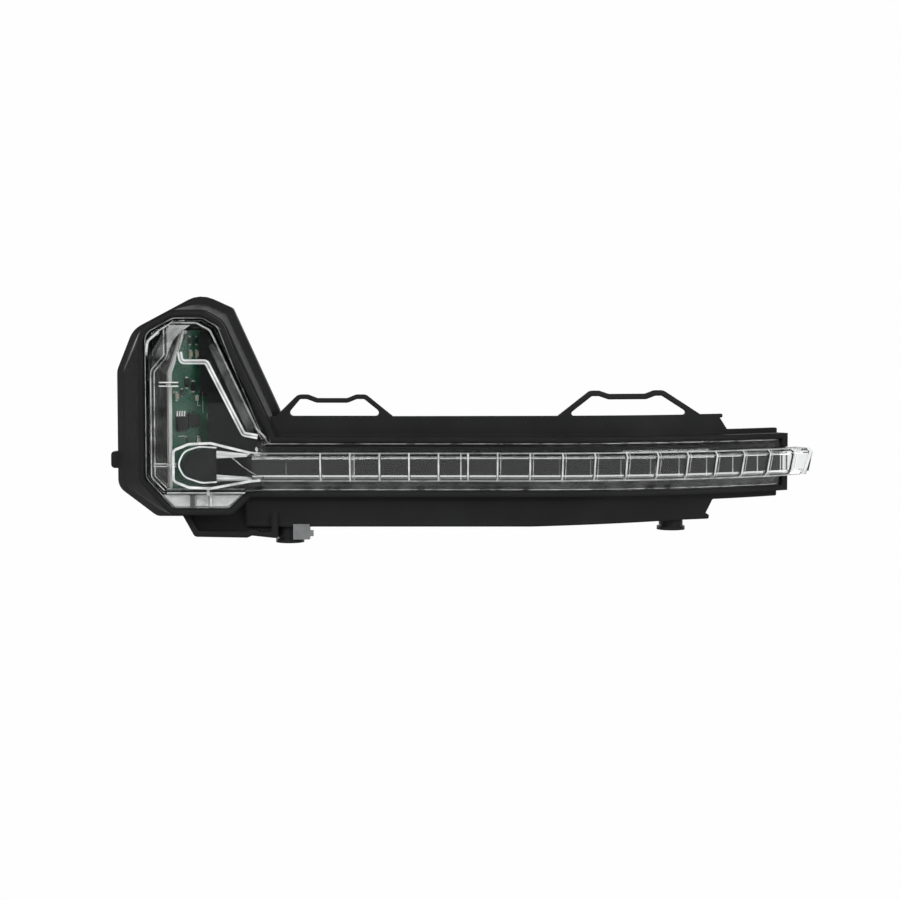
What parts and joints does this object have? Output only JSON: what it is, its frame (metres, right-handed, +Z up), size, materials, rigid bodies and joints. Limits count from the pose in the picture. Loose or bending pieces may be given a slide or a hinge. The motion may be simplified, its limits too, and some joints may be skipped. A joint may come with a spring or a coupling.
{
  "type": "side repeater lamp",
  "caption": "Side repeater lamp for a left door mirror: black housing with snap eyes and bosses, clear cover with a proud finned light bar.",
  "frame": {"origin": "mouth of the inboard screw boss, on its bore's axis", "axes": "+X outboard along the strip, +Y to the rear of the lamp, +Z up, away from the boss's mouth"},
  "size_m": [0.2348, 0.0472, 0.0813],
  "materials": {
    "housing": "moulded, fine grain",
    "cover": "clear polished acrylic",
    "guide": "clear polished acrylic",
    "bezel": "satin dark grey",
    "hood": "satin dark grey",
    "reflector": "vacuum metallised",
    "board": "green solder mask",
    "screws": "zinc plated",
    "chip": "moulded epoxy",
    "resistor": "glazed",
    "capacitor": "sintered",
    "led": "phosphor and silicone",
    "header": "moulded",
    "pins": "tin plated tips",
    "patch": "porous film",
    "clip": "phosphated spring steel"
  },
  "bodies": {
    "root": {"housing": "housing", "outer_lens": "cover", "light_guide": "guide", "inner_bezel": "bezel", "led_shroud": "hood", "reflector_strip": "reflector", "circuit_board": "board", "board_screws": "screws", "driver_chip": "chip", "power_transistor": "chip", "diodes": "chip", "inductor": "chip", "chip_resistors": "resistor", "chip_capacitors": "capacitor", "signal_led": "led", "pin_header": "header", "connector_pins": "pins", "vent_patch": "patch", "spring_clip": "clip"}
  },
  "joints": []
}
